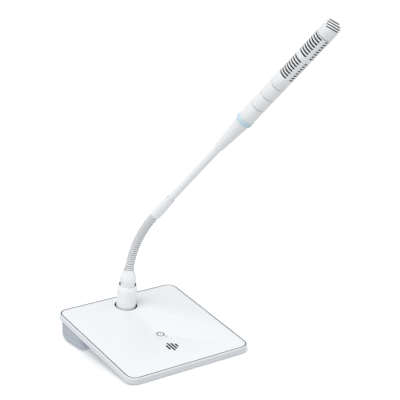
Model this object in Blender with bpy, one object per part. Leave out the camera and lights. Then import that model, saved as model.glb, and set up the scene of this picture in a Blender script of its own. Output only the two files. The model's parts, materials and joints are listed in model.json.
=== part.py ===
"""A white desktop microphone: a tilted square base, a plug-in gooseneck and a slotted tube head.

Every length below is in millimetres and every angle in degrees; the meshes are made in metres.
World frame: +Z up, the front of the base towards -Y, +X to the right. The origin is on the desk,
under the middle of the rear foot. Three more frames are used:
  slab frame  the base's top plate: x right, y to the rear along the slope, z out of the plate (0 on it)
  neck frame  on the socket's axis: z along the plug, x the way the neck leans
  head frame  on the last pivot of the neck: z along the straight stem and the head
"""

import math

import bmesh
import bpy
from mathutils import Matrix, Vector

MM = 0.001
GAP = 0.3  # clearance between two pieces that touch

# Base plate
SLOPE = 9.8
PANEL_HALF = 69.75
PANEL_CORNER = 9.0
PANEL_THICK = 1.4
FRAME_REACH = 1.65  # how far the frame stands outside the panel's edge
FRAME_DEPTH = 6.4
LEDGE_WIDTH = 3.6
LEDGE_THICK = 1.2
WALL = 1.9
PAN_THICK = 1.2
PAN_HALF = 68.9
FRONT_EDGE_HEIGHT = 1.5
SLAB_CENTRE_Y = -45.0
SLAB_CENTRE_Z = (
    FRONT_EDGE_HEIGHT
    + (PANEL_HALF + FRAME_REACH) * math.sin(math.radians(SLOPE))
    + FRAME_DEPTH * math.cos(math.radians(SLOPE))
)

# Rear housing, in the world frame
HOUSING_HALF = 68.0
HOUSING_FRONT = -19.0
HOUSING_REAR = 24.5
HOUSING_CORNER = 7.0
HOUSING_BOTTOM = 1.3
HOUSING_WALL = 2.0
POST_RADIUS = 3.6
POST_X = 58.0
POST_ROWS = (34.0, 62.0)  # slab frame

# Socket, plug and boot, measured along the neck from the panel's surface
SOCKET_Y = 51.2
HOLE_RADIUS = 11.6
SOCKET_OUTER = 12.4
SOCKET_BORE = 10.6
SOCKET_FLOOR = -20.5
CORE_RADIUS = 7.4
PIN_CIRCLE = 4.4
PIN_COUNT = 3
PLUG_RADIUS = 10.1
PLUG_TOP = 24.0
SHOULDER_START = 20.0  # where the plug's shell starts to narrow
SHOULDER_RADIUS = 8.9
BOOT_WAIST = 7.65
PLUG_BOTTOM = -19.2
BOOT_TOP = 42.0

# Flexible part: short links that turn on ball faces
LINK_COUNT = 8
LINK_PITCH = 9.6
LINK_RADIUS = 4.55
LINK_BORE = 2.2
BALL_RADIUS = 6.0
FIRST_PIVOT = BOOT_TOP - math.sqrt(BALL_RADIUS**2 - LINK_RADIUS**2)
LAST_PIVOT = FIRST_PIVOT + LINK_COUNT * LINK_PITCH
NECK_TURN = 21.0  # the lean is towards the front, turned this far to the right
NECK_LEAN = 34.8  # the stem's angle from the plug's axis
LEAN_POWER = 1.15  # above 1, the neck bends most near the plug

# Stem and head, measured along the neck from the panel's surface
FERRULE_RADIUS = 5.15
FERRULE_END = 146.5
STEM_RADIUS = 3.65
STEM_START = 126.0
STEM_END = 240.0
CONE_START = 229.0
CONE_END = 269.0
RING_RADIUS = 8.35
RING_END = 274.6
HEAD_RADIUS = 7.9
HEAD_WALL = 0.9
SECTION_ENDS = (292.3, 306.7, 321.5)
GROOVE = 0.6
TUBE_END = 388.3
HEAD_END = 404.4
DOME_HEIGHT = 6.0
DOME_POWER = 2.8  # 2 would make the dome an ellipse; more makes it fuller
DOME_SLOT_PITCH = 2.12
DOME_SLOT_WIDTH = 0.9
DOME_SLOT_REACH = (5.4, 6.6, 7.0, 6.4, 4.6)  # half the length of each slanted slot, lowest first
LOWEST_DOME_SLOT = -7.2  # from the dome's top, square to the slots
DOME_SLOT_TILT = (129.1, 31.5, 66.9)  # turns about z, y and z again, from the head frame to the slots'
SLOT_ROWS = ((336.0, 8), (364.7, 8))  # first slot's centre and the number of slots
SLOT_PITCH = 3.07
SLOT_HEIGHT = 1.4
SLOT_WINDOWS = 3
RIB_ANGLE = 28.0
RIB_PHASE = -53.0
CORE_TUBE_RADIUS = 6.6
CORE_END = 328.0
CAPSULE_START = 330.0
CAPSULE_END = 340.5

# Controls on the panel, in the slab frame
BUTTON_Y = -13.8
BUTTON_RADIUS = 4.3
BUTTON_HOLE = 4.6
LIGHT_X = 3.8
LIGHT_Y = -19.2
LIGHT_RADIUS = 0.75
LIGHT_HOLE = 1.05

# Cable jack in the housing's rear wall, in the world frame
JACK_X = 32.0
JACK_HALF = 8.0
JACK_LOW = 7.5
JACK_HIGH = 20.5
JACK_DEPTH = 14.0

ROUND = 28  # sides of a large round piece
SMALL_ROUND = 14
TUBE_ROUND = 24
LINK_ROUND = 16

COLOURS = {
    # name: (red, green, blue), roughness, metallic
    "white_panel": ((0.90, 0.91, 0.93), 0.35, 0.0),
    "white_frame": ((0.86, 0.88, 0.90), 0.45, 0.0),
    "grey_housing": ((0.62, 0.66, 0.71), 0.55, 0.0),
    "grey_steel": ((0.55, 0.58, 0.62), 0.5, 0.6),
    "ballast_steel": ((0.42, 0.43, 0.45), 0.45, 1.0),
    "black_plastic": ((0.02, 0.02, 0.022), 0.5, 0.0),
    "black_rubber": ((0.03, 0.03, 0.03), 0.85, 0.0),
    "gold_contact": ((0.85, 0.62, 0.22), 0.25, 1.0),
    "board_green": ((0.03, 0.22, 0.10), 0.5, 0.0),
    "screw_steel": ((0.60, 0.61, 0.63), 0.35, 1.0),
    "white_metal": ((0.88, 0.89, 0.91), 0.3, 0.1),
    "white_spring": ((0.84, 0.85, 0.87), 0.35, 0.2),
    "ice_ring": ((0.78, 0.89, 0.96), 0.2, 0.0),
    "clear_light": ((0.75, 0.80, 0.82), 0.15, 0.0),
    "dark_mesh": ((0.05, 0.05, 0.055), 0.8, 0.0),
    "capsule_metal": ((0.70, 0.71, 0.73), 0.3, 1.0),
}


# Frames


def translated(x, y, z):
    return Matrix.Translation(Vector((x, y, z)) * MM)


def turned(degrees, axis):
    return Matrix.Rotation(math.radians(degrees), 4, axis)


def link_angle(index):
    """Lean of link number index from the plug's axis; the head follows the last link."""
    along = index / (LINK_COUNT + 1)
    return NECK_LEAN * (1 - (1 - along) ** LEAN_POWER)


SLAB_FRAME = translated(0, SLAB_CENTRE_Y, SLAB_CENTRE_Z) @ turned(SLOPE, "X")
NECK_FRAME = SLAB_FRAME @ translated(0, SOCKET_Y, 0) @ turned(NECK_TURN - 90, "Z")


def pivot_frames():
    """One frame for each pivot of the neck, its z along the link above it. The last is the head's."""
    frames = []
    frame = NECK_FRAME @ translated(0, 0, FIRST_PIVOT)
    for index in range(1, LINK_COUNT + 2):
        frame = frame @ turned(link_angle(index) - link_angle(index - 1), "Y")
        frames.append(frame.copy())
        frame = frame @ translated(0, 0, LINK_PITCH)
    return frames


def underside_height(y, below=FRAME_DEPTH):
    """World height, at world y, of the plane that lies this far below the panel's surface."""
    slope = math.radians(SLOPE)
    return SLAB_CENTRE_Z + math.tan(slope) * (y - SLAB_CENTRE_Y) - below / math.cos(slope)


# Outlines and profiles


def rounded_rectangle(x_low, x_high, y_low, y_high, radius, steps=4):
    """Points of a rounded rectangle, anticlockwise, with steps points on each corner's arc."""
    corners = (
        (x_high - radius, y_high - radius, 0),
        (x_low + radius, y_high - radius, 90),
        (x_low + radius, y_low + radius, 180),
        (x_high - radius, y_low + radius, 270),
    )
    points = []
    for centre_x, centre_y, start in corners:
        for step in range(steps):
            angle = math.radians(start + 90 * step / (steps - 1))
            points.append((centre_x + radius * math.cos(angle), centre_y + radius * math.sin(angle)))
    return points


def square_outline(half, radius):
    return rounded_rectangle(-half, half, -half, half, radius)


def circle_outline(radius, sides, x=0.0, y=0.0):
    angles = [2 * math.pi * side / sides for side in range(sides)]
    return [(x + radius * math.cos(angle), y + radius * math.sin(angle)) for angle in angles]


def at_height(outline, height):
    """The outline's points with their height, which is a number or a function of y."""
    return [(x, y, height(y) if callable(height) else height) for x, y in outline]


def ball_arc(radius, from_r, to_r, centre, steps=3):
    """Profile points (r, z) on a ball face about the axis point at height centre."""
    radii = [from_r + (to_r - from_r) * step / (steps - 1) for step in range(steps)]
    return [(r, centre + math.sqrt(radius**2 - r**2)) for r in radii]


# Objects


def material(name):
    found = bpy.data.materials.get(name)
    if found:
        return found
    colour, roughness, metallic = COLOURS[name]
    made = bpy.data.materials.new(name)
    made.use_nodes = True
    shader = made.node_tree.nodes["Principled BSDF"]
    shader.inputs["Base Color"].default_value = (*colour, 1.0)
    shader.inputs["Roughness"].default_value = roughness
    shader.inputs["Metallic"].default_value = metallic
    return made


def finish_object(name, mesh_data, colour, parent=None):
    """Links a bmesh as an object with its faces outward, smooth where it is round."""
    bmesh.ops.recalc_face_normals(mesh_data, faces=mesh_data.faces)
    mesh = bpy.data.meshes.new(name)
    mesh_data.to_mesh(mesh)
    mesh_data.free()
    mesh.shade_smooth()
    mesh.set_sharp_from_angle(angle=math.radians(35))
    piece = bpy.data.objects.new(name, mesh)
    bpy.context.scene.collection.objects.link(piece)
    if colour:
        mesh.materials.append(material(colour))
    piece.parent = parent
    return piece


def frame_empty(name, matrix):
    empty = bpy.data.objects.new(name, None)
    empty.empty_display_size = 0.01
    bpy.context.scene.collection.objects.link(empty)
    empty.matrix_world = matrix
    return empty


def add_ring(mesh_data, points):
    return [mesh_data.verts.new(Vector(point) * MM) for point in points]


def bridge(mesh_data, first, second):
    """Quads, or triangles at a pole, between two rings of vertices."""
    if len(first) == 1 and len(second) == 1:
        return
    count = max(len(first), len(second))
    for side in range(count):
        following = (side + 1) % count
        if len(first) == 1:
            mesh_data.faces.new((first[0], second[following], second[side]))
        elif len(second) == 1:
            mesh_data.faces.new((first[side], first[following], second[0]))
        else:
            mesh_data.faces.new((first[side], first[following], second[following], second[side]))


def loft(name, loops, colour, parent=None, tube=False):
    """Skin over a stack of loops. A tube joins its last loop to the first; otherwise both ends are capped."""
    mesh_data = bmesh.new()
    rings = [add_ring(mesh_data, loop) for loop in loops]
    for lower, upper in zip(rings, rings[1:]):
        bridge(mesh_data, lower, upper)
    if tube:
        bridge(mesh_data, rings[-1], rings[0])
    else:
        mesh_data.faces.new(rings[0][::-1])
        mesh_data.faces.new(rings[-1])
    return finish_object(name, mesh_data, colour, parent)


def revolve(name, profile, colour, parent=None, sides=ROUND, lift=0.0, x=0.0, y=0.0):
    """Turns a closed (r, z) profile about z. A profile that starts and ends at r 0 gives a solid."""
    mesh_data = bmesh.new()
    rings = []
    for radius, height in profile:
        if radius == 0:
            rings.append(add_ring(mesh_data, [(x, y, height - lift)]))
        else:
            rings.append(add_ring(mesh_data, at_height(circle_outline(radius, sides, x, y), height - lift)))
    for lower, upper in zip(rings, rings[1:] + rings[:1]):
        bridge(mesh_data, lower, upper)
    return finish_object(name, mesh_data, colour, parent)


def rod(name, radius, low, high, colour, parent=None, sides=SMALL_ROUND, x=0.0, y=0.0, chamfer=0.0):
    """A round bar with an optional chamfer at its top."""
    outline = circle_outline(radius, sides, x, y)
    loops = [at_height(outline, low), at_height(outline, high - chamfer)]
    if chamfer:
        loops.append(at_height(circle_outline(radius - chamfer, sides, x, y), high))
    return loft(name, loops, colour, parent)


def sleeve(name, outer, inner, low, high, colour, parent=None, sides=ROUND, lift=0.0, x=0.0, y=0.0):
    profile = [(outer, low), (outer, high), (inner, high), (inner, low)]
    return revolve(name, profile, colour, parent, sides=sides, lift=lift, x=x, y=y)


def block(name, low, high, colour, parent=None, bevel=0.0):
    """A box between two corners, with its edges bevelled if bevel is given."""
    mesh_data = bmesh.new()
    bmesh.ops.create_cube(mesh_data, size=1.0)
    size = [top - bottom for bottom, top in zip(low, high)]
    middle = [(top + bottom) / 2 for bottom, top in zip(low, high)]
    bmesh.ops.scale(mesh_data, vec=Vector(size) * MM, verts=mesh_data.verts)
    bmesh.ops.translate(mesh_data, vec=Vector(middle) * MM, verts=mesh_data.verts)
    if bevel:
        bmesh.ops.bevel(mesh_data, geom=mesh_data.edges[:], offset=bevel * MM, segments=1, affect="EDGES")
    return finish_object(name, mesh_data, colour, parent)


def boolean(piece, tool, operation="DIFFERENCE"):
    """Applies another mesh to the piece as a live Boolean, and keeps that mesh out of the render."""
    tool.hide_render = True
    tool.display_type = "WIRE"
    modifier = piece.modifiers.new(tool.name, "BOOLEAN")
    modifier.operation = operation
    modifier.object = tool
    modifier.solver = "EXACT"


def drill(piece, radius, low, high, x=0.0, y=0.0, parent=None, sides=SMALL_ROUND):
    name = f"cut_{piece.name}_{len(piece.modifiers)}"
    boolean(piece, rod(name, radius, low, high, None, parent, sides=sides, x=x, y=y))


def cut_box(piece, low, high, parent=None):
    name = f"cut_{piece.name}_{len(piece.modifiers)}"
    boolean(piece, block(name, low, high, None, parent))


# Base


def make_top_panel(slab):
    chamfer = 0.25
    outline = square_outline(PANEL_HALF, PANEL_CORNER)
    smaller = square_outline(PANEL_HALF - chamfer, PANEL_CORNER - chamfer)
    loops = [at_height(outline, -PANEL_THICK), at_height(outline, -chamfer), at_height(smaller, 0)]
    panel = loft("top_panel", loops, "white_panel", slab)
    drill(panel, HOLE_RADIUS, -5, 5, y=SOCKET_Y, parent=slab, sides=ROUND)
    drill(panel, BUTTON_HOLE, -5, 5, y=BUTTON_Y, parent=slab, sides=24)
    drill(panel, LIGHT_HOLE, -5, 5, x=LIGHT_X, y=LIGHT_Y, parent=slab, sides=12)


def frame_profile():
    """(distance outside the panel's edge, height) round the frame's section, outer bottom first."""
    ledge_top = -PANEL_THICK - GAP
    ledge_bottom = ledge_top - LEDGE_THICK
    wall_inner = FRAME_REACH - WALL
    return [
        (FRAME_REACH - 0.5, -FRAME_DEPTH),
        (FRAME_REACH, -FRAME_DEPTH + 0.6),
        (FRAME_REACH, -1.3),
        (FRAME_REACH - 0.35, -0.45),
        (FRAME_REACH - 1.1, -0.02),
        (GAP, -0.1),
        (GAP, ledge_top),
        (-LEDGE_WIDTH, ledge_top),
        (-LEDGE_WIDTH, ledge_bottom),
        (wall_inner, ledge_bottom),
        (wall_inner, -FRAME_DEPTH),
    ]


def make_base_frame(slab):
    loops = []
    for reach, height in frame_profile():
        loops.append(at_height(square_outline(PANEL_HALF + reach, PANEL_CORNER + reach), height))
    frame = loft("base_frame", loops, "white_frame", slab, tube=True)
    ledge_top = -PANEL_THICK - GAP
    for side in (-1, 1):
        boss_name = f"boss_{'left' if side < 0 else 'right'}"
        boolean(frame, rod(boss_name, 4.2, -4.9, ledge_top, None, slab, x=side * 62, y=-62), "UNION")
    for side in (-1, 1):
        drill(frame, 1.75, -5.5, -2.4, x=side * 62, y=-62, parent=slab)


def make_bottom_pan(slab):
    outline = square_outline(PAN_HALF, PANEL_CORNER - 0.6)
    loops = [at_height(outline, -FRAME_DEPTH), at_height(outline, -FRAME_DEPTH + PAN_THICK)]
    pan = loft("bottom_pan", loops, "grey_steel", slab)
    cut_box(pan, (-52, 29, -8), (52, 65.6, -3), parent=slab)
    for side in (-1, 1):
        drill(pan, 1.75, -8, -3, x=side * 62, y=-62, parent=slab)
        drill(pan, 2.9, -8, -FRAME_DEPTH + 0.7, x=side * 62, y=-62, parent=slab)
        for row in POST_ROWS:
            drill(pan, 1.75, -8, -3, x=side * POST_X, y=row, parent=slab)


def housing_loop(height, side, front, rear, radius):
    """One level of the housing, inset by these amounts from its widest outline."""
    outline = rounded_rectangle(
        -HOUSING_HALF + side,
        HOUSING_HALF - side,
        HOUSING_FRONT + front,
        HOUSING_REAR - rear,
        radius,
    )
    return at_height(outline, height)


def make_rear_housing(slab):
    """A tray with a rounded belly, whose rim follows the underside of the plate."""

    def rim(y):
        return underside_height(y, FRAME_DEPTH + GAP)

    wall = HOUSING_WALL
    loops = [
        housing_loop(HOUSING_BOTTOM, 4.0, 3.0, 9.5, HOUSING_CORNER - 2),
        housing_loop(2.0, 2.0, 1.5, 6.5, HOUSING_CORNER - 1),
        housing_loop(3.8, 0.6, 0.5, 3.0, HOUSING_CORNER),
        housing_loop(6.2, 0.0, 0.0, 0.6, HOUSING_CORNER),
        housing_loop(8.0, 0.0, 0.0, 0.0, HOUSING_CORNER),
        housing_loop(rim, 0.0, 0.0, 0.0, HOUSING_CORNER),
        housing_loop(rim, wall, wall, wall, HOUSING_CORNER - wall),
        housing_loop(8.0, wall, wall, wall, HOUSING_CORNER - wall),
        housing_loop(6.2, wall, wall, 3.0, HOUSING_CORNER - wall),
        housing_loop(3.4, 5.5, 4.5, 11.0, HOUSING_CORNER - wall),
    ]
    housing = loft("rear_housing", loops, "grey_housing")
    for side in (-1, 1):
        for row in POST_ROWS:
            spot = SLAB_FRAME @ (Vector((side * POST_X, row, -12.0)) * MM) / MM
            top = underside_height(spot.y, FRAME_DEPTH + 1.2)
            post_name = f"post_{side}_{row:.0f}"
            post = rod(post_name, POST_RADIUS, 3.0, top, None, x=spot.x, y=spot.y, sides=12)
            boolean(housing, post, "UNION")
    for side in (-1, 1):
        for row in POST_ROWS:
            drill(housing, 1.75, -14.5, -5, x=side * POST_X, y=row, parent=slab, sides=12)
    opening_low = (JACK_X - JACK_HALF - GAP, HOUSING_REAR - 6, JACK_LOW - GAP)
    opening_high = (JACK_X + JACK_HALF + GAP, HOUSING_REAR + 6, JACK_HIGH + GAP)
    cut_box(housing, opening_low, opening_high)


def make_ballast(slab):
    """Steel that keeps the base on the desk: a sheet in the plate and a block in the housing."""
    top = -FRAME_DEPTH + PAN_THICK + GAP
    block("ballast_plate", (-54, -58, top), (54, -26, top + 1.6), "ballast_steel", slab)
    block("ballast_block", (-50, -13.5, 3.7), (-17, 11.5, 15.5), "ballast_steel", bevel=0.6)


def make_main_board():
    block("main_board", (15.5, -14.5, 5.2), (53.0, 18.0, 6.8), "board_green")
    block("audio_processor", (20.0, -10.0, 7.1), (32.0, 2.0, 8.6), "black_plastic")


def make_cable_jack():
    """Eight-way cable socket whose mouth is flush with the housing's rear wall."""
    front = HOUSING_REAR - JACK_DEPTH
    low = (JACK_X - JACK_HALF, front, JACK_LOW)
    high = (JACK_X + JACK_HALF, HOUSING_REAR - 0.2, JACK_HIGH)
    jack = block("cable_jack", low, high, "black_plastic")
    cut_box(jack, (JACK_X - 5.9, front + 2, JACK_LOW + 3.4), (JACK_X + 5.9, HOUSING_REAR + 2, JACK_LOW + 10.4))
    cut_box(jack, (JACK_X - 3.1, front + 4, JACK_LOW + 1.6), (JACK_X + 3.1, HOUSING_REAR + 2, JACK_LOW + 5.0))


def make_jack_contacts():
    """A comb of eight sprung wires on one carrier, leaning down into the jack's mouth."""
    back = HOUSING_REAR - JACK_DEPTH + 2 + GAP
    top = JACK_LOW + 10.4 - GAP
    comb = block("jack_contacts", (JACK_X - 5.2, back, top - 1.2), (JACK_X + 5.2, back + 1.4, top), "gold_contact")
    for finger in range(8):
        x = JACK_X + (finger - 3.5) * 1.27
        tooth = block(f"tooth_{finger}", (x - 0.25, back + 1, top - 0.9), (x + 0.25, back + 8, top - 0.4), None)
        boolean(comb, tooth, "UNION")


def make_talk_button(slab):
    """Round key with a retaining flange under the panel, and the dome switch that it presses."""
    flange_top = -PANEL_THICK - 0.35
    profile = [
        (0, flange_top - 0.85),
        (5.6, flange_top - 0.85),
        (5.6, flange_top),
        (BUTTON_RADIUS, flange_top),
        (BUTTON_RADIUS, 0.05),
        (BUTTON_RADIUS - 0.35, 0.25),
        (0, 0.15),
    ]
    centre = frame_empty("button_axis", SLAB_FRAME @ translated(0, BUTTON_Y, 0))
    revolve("talk_button", profile, "white_panel", centre, sides=24)
    block("switch_board", (-15, -24, -4.9), (15, 3, -4.1), "board_green", slab)
    dome = [(0, -3.8), (3.2, -3.8), (3.2, -3.6), (2.0, -3.35), (0, -3.25)]
    revolve("dome_switch", dome, "screw_steel", slab, sides=SMALL_ROUND, y=BUTTON_Y)
    rod("status_light", LIGHT_RADIUS, -3.8, 0.05, "clear_light", slab, x=LIGHT_X, y=LIGHT_Y, sides=12)


def make_socket(neck):
    """The round chassis socket under the panel, with its gasket, core and three contacts."""
    top = -PANEL_THICK - GAP
    shelf = -5.0
    cup = [
        (0, SOCKET_FLOOR - 1.5),
        (SOCKET_OUTER, SOCKET_FLOOR - 1.5),
        (SOCKET_OUTER, top),
        (HOLE_RADIUS, top),
        (HOLE_RADIUS, shelf),
        (SOCKET_BORE, shelf),
        (SOCKET_BORE, SOCKET_FLOOR),
        (0, SOCKET_FLOOR),
    ]
    revolve("socket_cup", cup, "black_plastic", neck)
    sleeve("socket_gasket", 11.3, PLUG_RADIUS + GAP, shelf + GAP, shelf + 2.4, "black_rubber", neck)
    floor = SOCKET_FLOOR + GAP
    core = rod("socket_core", CORE_RADIUS, floor, -8.0, "black_plastic", neck, sides=TUBE_ROUND, chamfer=0.4)
    for index in range(PIN_COUNT):
        x, y = pin_place(index)
        drill(core, 2.2, floor + 1.0, 0, x=x, y=y, parent=neck)
        profile = [(0, floor + 1.3), (1.9, floor + 1.3), (1.9, -8.4), (1.5, -8.4), (1.5, floor + 2.3), (0, floor + 2.3)]
        revolve(f"socket_contact_{index + 1}", profile, "gold_contact", neck, sides=12, x=x, y=y)


def pin_place(index):
    angle = math.radians(90 + 120 * index)
    return PIN_CIRCLE * math.cos(angle), PIN_CIRCLE * math.sin(angle)


def make_feet():
    """A long rubber foot under the housing, and two under the plate's front corners."""
    high = HOUSING_BOTTOM - GAP
    strip = rounded_rectangle(-50, 50, -4, 4, 3.9)
    inner = rounded_rectangle(-49.6, 49.6, -3.6, 3.6, 3.5)
    loft("rear_foot", [at_height(inner, 0), at_height(strip, 0.4), at_height(strip, high)], "black_rubber")

    def pan_face(y):
        return underside_height(y, FRAME_DEPTH + GAP)

    for side, word in ((-1, "left"), (1, "right")):
        spot = SLAB_FRAME @ (Vector((side * 50, -56, -FRAME_DEPTH)) * MM) / MM
        pad = circle_outline(5.0, 24, spot.x, spot.y)
        sole = circle_outline(4.6, 24, spot.x, spot.y)
        loops = [at_height(sole, 0), at_height(pad, 0.4), at_height(pad, pan_face)]
        loft(f"front_foot_{word}", loops, "black_rubber")


def make_screws(slab):
    """Two screws from below into the frame, and four from above that hold the housing."""
    head = -FRAME_DEPTH
    for side, word in ((-1, "left"), (1, "right")):
        low = head + 0.05
        pan_screw = [(0, low), (2.6, low), (2.6, low + 0.35), (1.4, low + 0.35), (1.4, -2.8), (0, -2.8)]
        revolve(f"pan_screw_{word}", pan_screw, "screw_steel", slab, sides=12, x=side * 62, y=-62)
        seat = -FRAME_DEPTH + PAN_THICK + GAP
        for row, place in zip(POST_ROWS, ("front", "rear")):
            screw = [(0, -14), (1.4, -14), (1.4, seat), (2.7, seat), (2.7, seat + 1.2), (0, seat + 1.2)]
            name = f"housing_screw_{word}_{place}"
            revolve(name, screw, "screw_steel", slab, sides=12, x=side * POST_X, y=row)


# Plug


def make_plug_shell(plug):
    """Barrel that enters the socket, open below for the pins and above for the boot."""
    profile = [
        (PLUG_RADIUS - 0.3, PLUG_BOTTOM),
        (PLUG_RADIUS, PLUG_BOTTOM + 0.3),
        (PLUG_RADIUS, SHOULDER_START),
        (SHOULDER_RADIUS, PLUG_TOP),
        (BOOT_WAIST + GAP, PLUG_TOP),
        (BOOT_WAIST + GAP, 16.0),
        (6.8, 16.0),
        (6.8, -2.0),
        (8.2, -2.0),
        (8.2, PLUG_BOTTOM),
    ]
    revolve("plug_shell", profile, "white_metal", plug)


def make_plug_insert(plug):
    insert = rod("plug_insert", 7.9, -6.4, -2.0 - GAP, "black_plastic", plug, sides=TUBE_ROUND)
    for index in range(PIN_COUNT):
        x, y = pin_place(index)
        drill(insert, 1.5, -8, 0, x=x, y=y, parent=plug, sides=12)
        rod(f"plug_pin_{index + 1}", 1.2, -17.0, -1.0, "gold_contact", plug, x=x, y=y, sides=12)


def make_plug_boot(plug):
    """Bulging boot, bored for the cable, with the ball face of the first pivot on top."""
    profile = [
        (LINK_BORE, 16.3),
        (BOOT_WAIST, 16.3),
        (BOOT_WAIST, 26.5),
        (8.1, 28.6),
        (8.45, 31.5),
        (8.05, 34.2),
        (7.2, 36.6),
        (6.3, 38.6),
        (5.3, 41.2),
        *ball_arc(BALL_RADIUS, LINK_RADIUS, LINK_BORE, FIRST_PIVOT),
    ]
    revolve("plug_boot", profile, "white_metal", plug, sides=TUBE_ROUND)


# Flexible neck


def make_link(index, frame):
    """A bored link: a hollow ball face below, about its own pivot, and a ball face above, about the next."""
    profile = [
        *ball_arc(BALL_RADIUS + GAP, LINK_BORE, LINK_RADIUS, 0),
        *ball_arc(BALL_RADIUS, LINK_RADIUS, LINK_BORE, LINK_PITCH),
    ]
    pivot = frame_empty(f"pivot_{index}", frame)
    revolve(f"flex_link_{index}", profile, "white_spring", pivot, sides=LINK_ROUND)


# Stem and head


def make_ferrule(head):
    lift = LAST_PIVOT
    stem_bore = STEM_RADIUS + GAP
    profile = [
        *ball_arc(BALL_RADIUS + GAP, LINK_BORE, FERRULE_RADIUS, LAST_PIVOT),
        (FERRULE_RADIUS, 134.0),
        (4.5, 143.0),
        (4.5, FERRULE_END),
        (stem_bore, FERRULE_END),
        (stem_bore, STEM_START - GAP),
        (LINK_BORE, STEM_START - GAP),
    ]
    revolve("ferrule_sleeve", profile, "white_metal", head, sides=TUBE_ROUND, lift=lift)


def make_stem(head):
    sleeve("stem_tube", STEM_RADIUS, 2.7, STEM_START, STEM_END, "white_metal", head, sides=20, lift=LAST_PIVOT)


def make_cone(head):
    stem_bore = STEM_RADIUS + GAP
    profile = [
        (stem_bore, CONE_START),
        (4.35, CONE_START),
        (4.45, CONE_START + 1.5),
        (7.3, CONE_END - 2.0),
        (7.45, CONE_END),
        (6.2, CONE_END),
        (5.6, CONE_END - 6),
        (3.0, STEM_END + 6),
        (3.0, STEM_END + GAP),
        (stem_bore, STEM_END + GAP),
    ]
    revolve("cone_adapter", profile, "white_metal", head, sides=TUBE_ROUND, lift=LAST_PIVOT)


def make_light_ring(head):
    low = CONE_END + GAP
    rounding = 0.5
    profile = [
        (RING_RADIUS - rounding, low),
        (RING_RADIUS, low + rounding),
        (RING_RADIUS, RING_END - rounding),
        (RING_RADIUS - rounding, RING_END),
        (6.9, RING_END),
        (6.9, low),
    ]
    revolve("light_ring", profile, "ice_ring", head, sides=TUBE_ROUND, lift=LAST_PIVOT)
    sleeve("ring_light_board", 6.6, 2.0, low + 1, low + 2, "board_green", head, sides=24, lift=LAST_PIVOT)


def make_head_sections(head):
    """Three plain rings of the head, parted by narrow grooves, on one inner core tube."""
    start = RING_END + GAP
    for number, end in enumerate(SECTION_ENDS, 1):
        stop = end - GROOVE / 2
        edge = 0.25
        profile = [
            (HEAD_RADIUS - edge, start),
            (HEAD_RADIUS, start + edge),
            (HEAD_RADIUS, stop - edge),
            (HEAD_RADIUS - edge, stop),
            (HEAD_RADIUS - HEAD_WALL, stop),
            (HEAD_RADIUS - HEAD_WALL, start),
        ]
        revolve(f"head_section_{number}", profile, "white_metal", head, sides=TUBE_ROUND, lift=LAST_PIVOT)
        start = end + GROOVE / 2
    core_low = RING_END - 2.0
    sleeve("head_core", CORE_TUBE_RADIUS, 5.6, core_low, CORE_END, "black_plastic", head, sides=24, lift=LAST_PIVOT)


def slot_levels():
    """Heights along the grille tube where its material starts or stops, and whether a slot lies above each."""
    levels = [(SECTION_ENDS[-1] + GROOVE / 2, False)]
    for first, count in SLOT_ROWS:
        for number in range(count):
            middle = first + number * SLOT_PITCH
            levels.append((middle - SLOT_HEIGHT / 2, True))
            levels.append((middle + SLOT_HEIGHT / 2, False))
    levels.append((TUBE_END - GROOVE / 2, False))
    return levels


def slot_columns():
    """Angles round the tube and whether a slot's window follows each: long windows between narrow ribs."""
    window = 360 / SLOT_WINDOWS - RIB_ANGLE
    window_steps = 4
    rib_steps = 1
    columns = []
    for number in range(SLOT_WINDOWS):
        start = RIB_PHASE + number * 360 / SLOT_WINDOWS - RIB_ANGLE / 2
        for step in range(rib_steps):
            columns.append((start + RIB_ANGLE * step / rib_steps, False))
        for step in range(window_steps):
            columns.append((start + RIB_ANGLE + window * step / window_steps, True))
    return columns


def make_grille_tube(head):
    """Tube with two groups of slots, each slot split into windows by the ribs: a grid of cells, some left out."""
    levels = slot_levels()
    columns = slot_columns()
    mesh_data = bmesh.new()
    rings = []
    for radius in (HEAD_RADIUS, HEAD_RADIUS - HEAD_WALL):
        grid = []
        for height, _ in levels:
            directions = [math.radians(angle) for angle, _ in columns]
            points = [(radius * math.cos(a), radius * math.sin(a), height - LAST_PIVOT) for a in directions]
            grid.append(add_ring(mesh_data, points))
        rings.append(grid)
    outer, inner = rings
    rows = len(levels) - 1
    sides = len(columns)

    def solid(row, side):
        return not (levels[row][1] and columns[side % sides][1])

    def wall(row, side, next_row, next_side):
        """The face between the outer and inner grids along one cell edge."""
        corners = (outer[row][side], outer[next_row][next_side], inner[next_row][next_side], inner[row][side])
        mesh_data.faces.new(corners)

    for row in range(rows):
        for side in range(sides):
            following = (side + 1) % sides
            if not solid(row, side):
                continue
            for grid in (outer, inner):
                corners = (grid[row][side], grid[row][following], grid[row + 1][following], grid[row + 1][side])
                mesh_data.faces.new(corners)
            if row == 0 or not solid(row - 1, side):
                wall(row, side, row, following)
            if row == rows - 1 or not solid(row + 1, side):
                wall(row + 1, side, row + 1, following)
            if not solid(row, following):
                wall(row, following, row + 1, following)
            if not solid(row, side - 1):
                wall(row, side, row + 1, side)
    finish_object("grille_tube", mesh_data, "white_metal", head)


def dome_arc(radius, height, start, steps=6):
    """Profile points (r, z) of a full dome, from its rim up to just before its top."""
    arc = []
    for step in range(steps):
        angle = math.radians(90 * step / steps)
        across = math.cos(angle) ** (2 / DOME_POWER)
        along = math.sin(angle) ** (2 / DOME_POWER)
        arc.append((radius * across, start + height * along))
    return arc


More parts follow.
